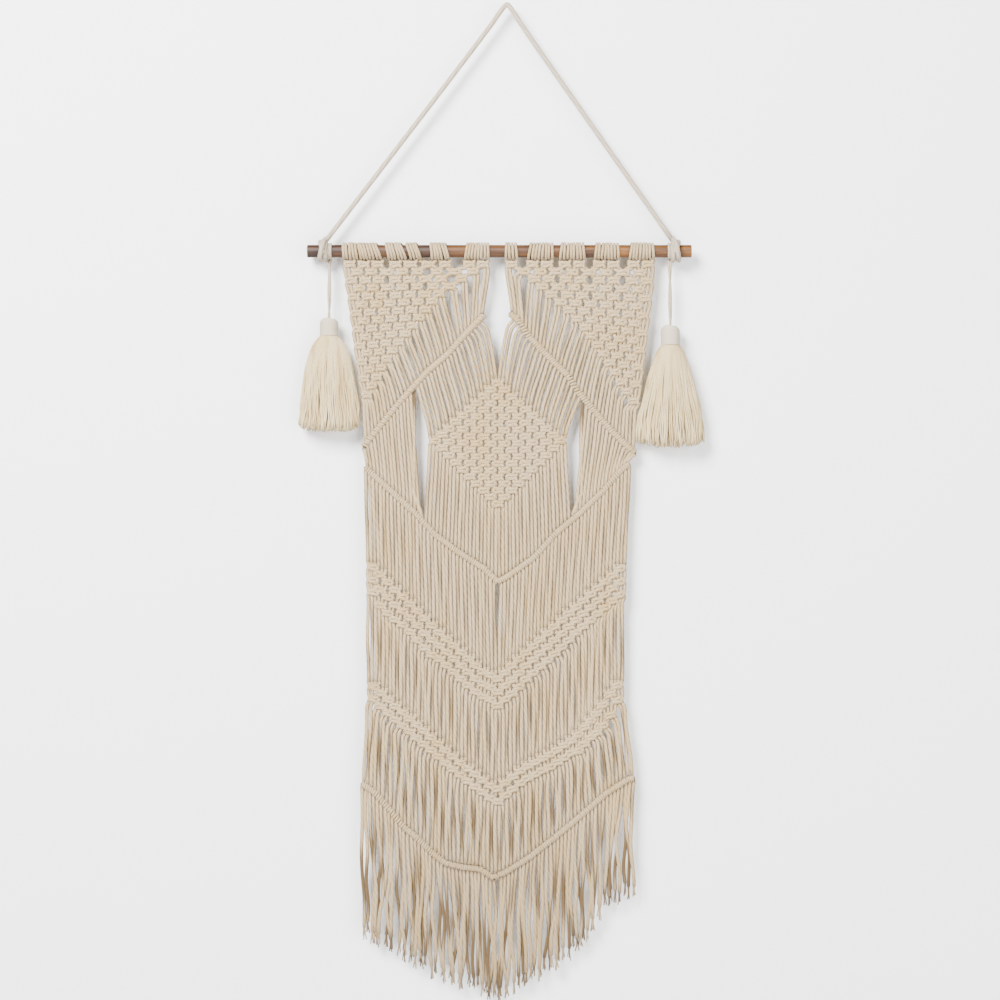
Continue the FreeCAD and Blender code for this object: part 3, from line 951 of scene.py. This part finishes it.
# ---------------------------------------------------------------- tassels' cords
# On each side a 2.4 mm cord is set on the dowel with a lark's head, and its two ends are laid
# together down to the tassel.  They go in through the cap and end in a knot under it.
TASSEL_STRAND_RADIUS = 1.15
TASSEL_HEAD_RADIUS = 1.2
TASSEL_STRAND_OUT = 0.98     # a strand's middle, from the cord's
TASSEL_LAY = 85.0            # one turn of the two strands round each other
LOOP_BOTTOM = 10.2           # where they leave the loop, below the dowel's axis
END_BELOW = 12.5             # the end knot, below the cap's top
END_TURN = 2.1               # radius of its turns

tassel_cord_finish = cotton_finish("tassel_cord_cotton", tint(176, 162, 142), tint(112, 98, 78),
                                   tint(168, 150, 122), 2, 0.007, 0.0003)
for side, sign in SIDES.items():
    node = "tassel_cord_" + side
    body = "tassel_" + side
    cap_low, cap_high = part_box("tassel_cap_" + side)
    axis_x = (cap_low.x + cap_high.x) * 500 - panel_x
    cap_top = (dowel_z - cap_high.z) * 1000
    low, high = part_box(node)
    loop_x = (low.x if side == "left" else high.x) * 1000 - panel_x
    loop_x -= sign * 2.4
    axis_end = cap_top + END_BELOW
    line = [(loop_x, LOOP_BOTTOM, -2.0), (loop_x + (axis_x - loop_x) * 0.03, 15.0, -0.6)]
    line += [(loop_x + (axis_x - loop_x) * share, LOOP_BOTTOM + (cap_top - LOOP_BOTTOM) * share, 0.0)
             for share in (0.25, 0.5, 0.75)]
    line += [(axis_x, cap_top - 5.0, 0.0), (axis_x, cap_top + 4.0, 0.0), (axis_x, axis_end, 0.0)]
    path = middle_line([in_frame(*point) for point in line], 12)
    reach = 0.0
    strands = [[], []]
    stations = path[:-1:4] + path[-1:]
    for point, last in zip(stations, stations[:1] + stations):
        reach += (Vector(point) - Vector(last)).length * 1000
        for which, strand in enumerate(strands):
            angle = 2 * pi * reach / TASSEL_LAY + pi * which + (0 if sign > 0 else pi / 3)
            strand.append((point[0] + TASSEL_STRAND_OUT / 1000 * cos(angle),
                           point[1] + TASSEL_STRAND_OUT / 1000 * sin(angle), point[2]))
    cord = spun(node + "_laid", strands, TASSEL_STRAND_RADIUS, tassel_cord_finish, 8, 3)
    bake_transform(cord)
    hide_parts(node, "tassel_cord_end_" + side)
    head = larks_head([loop_x - 1.25, loop_x + 1.25], [loop_x - 1.1, loop_x + 1.1], 7.9)
    head = spun(node + "_head", [[in_frame(*point) for point in head]], TASSEL_HEAD_RADIUS,
                tassel_cord_finish, 8, 3)
    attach(head, node)
    turns = [in_frame(axis_x + END_TURN * cos(angle) * (1 + 0.35 * cos(3 * angle)),
                      axis_end - 1.2 + 1.4 * sin(2 * angle), END_TURN * sin(angle))
             for angle in np.linspace(0, 3.4 * pi, 15)]
    knot = spun("tassel_end_knot_" + side, [turns], TASSEL_STRAND_RADIUS, tassel_cord_finish, 8, 3)
    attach(knot, body)

# ---------------------------------------------------------------- tassel caps
# White thread wound closely round the folded yarns, from the cord at the top down over a dome to
# the neck.
THREAD_RADIUS = 0.55
THREAD_PITCH = 1.0
CAP_TURN_POINTS = 10
CAP_MOUTH = 2.4              # the cord goes in through a hole this wide, from its middle
FELT_BELOW = 0.25            # the felt under the thread, below the thread's line

thread_finish = cotton_finish("cap_thread", tint(200, 188, 168), tint(158, 142, 118),
                              tint(194, 178, 150), 2, 0.003, 0.0001)
for side in SIDES:
    low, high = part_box("tassel_cap_" + side)
    axis_x = (low.x + high.x) / 2
    radius = (high.x - low.x) * 500 - THREAD_RADIUS
    height = (high.z - low.z) * 1000
    dome = 0.6 * radius
    outline = [(CAP_MOUTH + (radius - CAP_MOUTH) * sin(angle), dome * (1 - cos(angle)))
               for angle in np.linspace(0.0, pi / 2, 8)]
    outline += [(radius, dome + (height - dome) * share) for share in (0.35, 0.7, 1.0)]
    build = bmesh.new()
    last = None
    for across, drop in outline + [(radius - 2.0, height)]:
        place = (axis_x + (across - FELT_BELOW) / 1000, 0, high.z - drop / 1000)
        corner = build.verts.new(place)
        if last:
            build.edges.new((last, corner))
        last = corner
    bmesh.ops.spin(build, geom=build.verts[:] + build.edges[:], cent=(axis_x, 0, 0), axis=(0, 0, 1),
                   angle=2 * pi, steps=36, use_merge=True)
    bmesh.ops.remove_doubles(build, verts=build.verts, dist=1e-6)
    bmesh.ops.recalc_face_normals(build, faces=build.faces)
    for face in build.faces:
        face.smooth = True
    mesh = bpy.data.meshes.new("tassel_cap_felt_" + side)
    build.to_mesh(mesh)
    build.free()
    mesh.materials.append(thread_finish)
    felt = bpy.data.objects.new("tassel_cap_felt_" + side, mesh)
    scene.collection.objects.link(felt)
    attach(felt, "tassel_" + side)

    lengths = [0.0]
    for a, b in zip(outline, outline[1:]):
        lengths.append(lengths[-1] + ((b[0] - a[0]) ** 2 + (b[1] - a[1]) ** 2) ** 0.5)
    turns = lengths[-1] / THREAD_PITCH
    wound = []
    for number in range(int(turns * CAP_TURN_POINTS)):
        reach = number / CAP_TURN_POINTS * THREAD_PITCH
        across, drop = (float(np.interp(reach, lengths, part)) for part in zip(*outline))
        across *= 1.03
        angle = 2 * pi * number / CAP_TURN_POINTS
        lift = 0.5 * cos(angle + 0.6)
        wound.append((axis_x + across * cos(angle) / 1000, across * sin(angle) / 1000,
                      high.z - (drop + lift) / 1000))
    thread = spun("tassel_cap_thread_" + side, [wound], THREAD_RADIUS, thread_finish, 6, 2)
    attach(thread, "tassel_" + side)
    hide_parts("tassel_cap_" + side)

# ---------------------------------------------------------------- tassel skirts
# About four hundred soft two-ply cotton yarns, folded over the cord inside the cap.  They hang in
# wavy locks, spreading downwards, and are cut by hand at the bottom.
YARN_RADIUS = 0.68
YARN_RINGS = ((1.0, 150), (0.9, 120), (0.72, 80), (0.45, 46))      # its size, and its yarns
LOCKS = 23
SKIRT_HALF_WIDTH = {
    "left": [(0, 8.6), (0.1, 16.6), (0.26, 21.6), (0.52, 26.0), (0.79, 28.8), (1, 30.2)],
    "right": [(0, 8.8), (0.09, 14.2), (0.25, 19.4), (0.51, 26.4), (0.76, 32.0), (1, 33.6)],
}
SKIRT_HALF_DEPTH = [(0, 8.4), (0.12, 10.4), (0.5, 11.2), (1, 12.2)]
YARN_STATIONS = (0.03, 0.09, 0.16, 0.25, 0.35, 0.45, 0.55, 0.65, 0.75, 0.84, 0.92, 1.0)

# The yarns get painted shade in streaks down their length.
yarn_finish = cotton_finish("tassel_yarn", tint(202, 184, 144), tint(158, 124, 68),
                            tint(190, 162, 104), 2, 0.005, 0.0002, shade_streaks=0.75)
for side in SIDES:
    low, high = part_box("tassel_skirt_" + side)
    axis_x = (low.x + high.x) / 2
    length = (high.z - low.z) * 1000
    locks = [(draw.uniform(0, 2 * pi), draw.uniform(0.6, 1.5), draw.uniform(5.0, 11.0))
             for _ in range(LOCKS)]
    yarns = []
    for ring, count in YARN_RINGS:
        for number in range(count):
            angle = 2 * pi * (number + draw.uniform(-0.3, 0.3)) / count
            lock = int(angle / (2 * pi) * LOCKS) % LOCKS
            middle = (lock + 0.5) * 2 * pi / LOCKS
            phase, swing, waves = locks[lock]
            cut = 1 + draw.uniform(-0.05, 0.025) - 0.05 * cos(angle) ** 4
            own = draw.uniform(0, 2 * pi)
            line = [(axis_x + radius * ring * cos(angle), radius * ring * sin(angle), high.z + rise)
                    for radius, rise in ((0.0055, 0.009), (0.0068, 0.002))]
            for share in YARN_STATIONS:
                turn = angle + (middle - angle) * 0.22 * share ** 1.5
                across = between(SKIRT_HALF_WIDTH[side], share) * ring
                through = between(SKIRT_HALF_DEPTH, share) * ring
                x = across * cos(turn) + swing * share * sin(phase + waves * share)
                x += 0.9 * share * sin(own + 13 * share)
                y = through * sin(turn) + 0.9 * share * sin(own * 2 + 11 * share)
                line.append((axis_x + x / 1000, y / 1000, high.z - length * share * cut / 1000))
            yarns.append(line)
    skirt = spun("tassel_skirt_yarns_" + side, yarns, YARN_RADIUS, yarn_finish, 6, 2)
    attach(skirt, "tassel_" + side)
    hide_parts("tassel_skirt_" + side, "tassel_core_" + side)
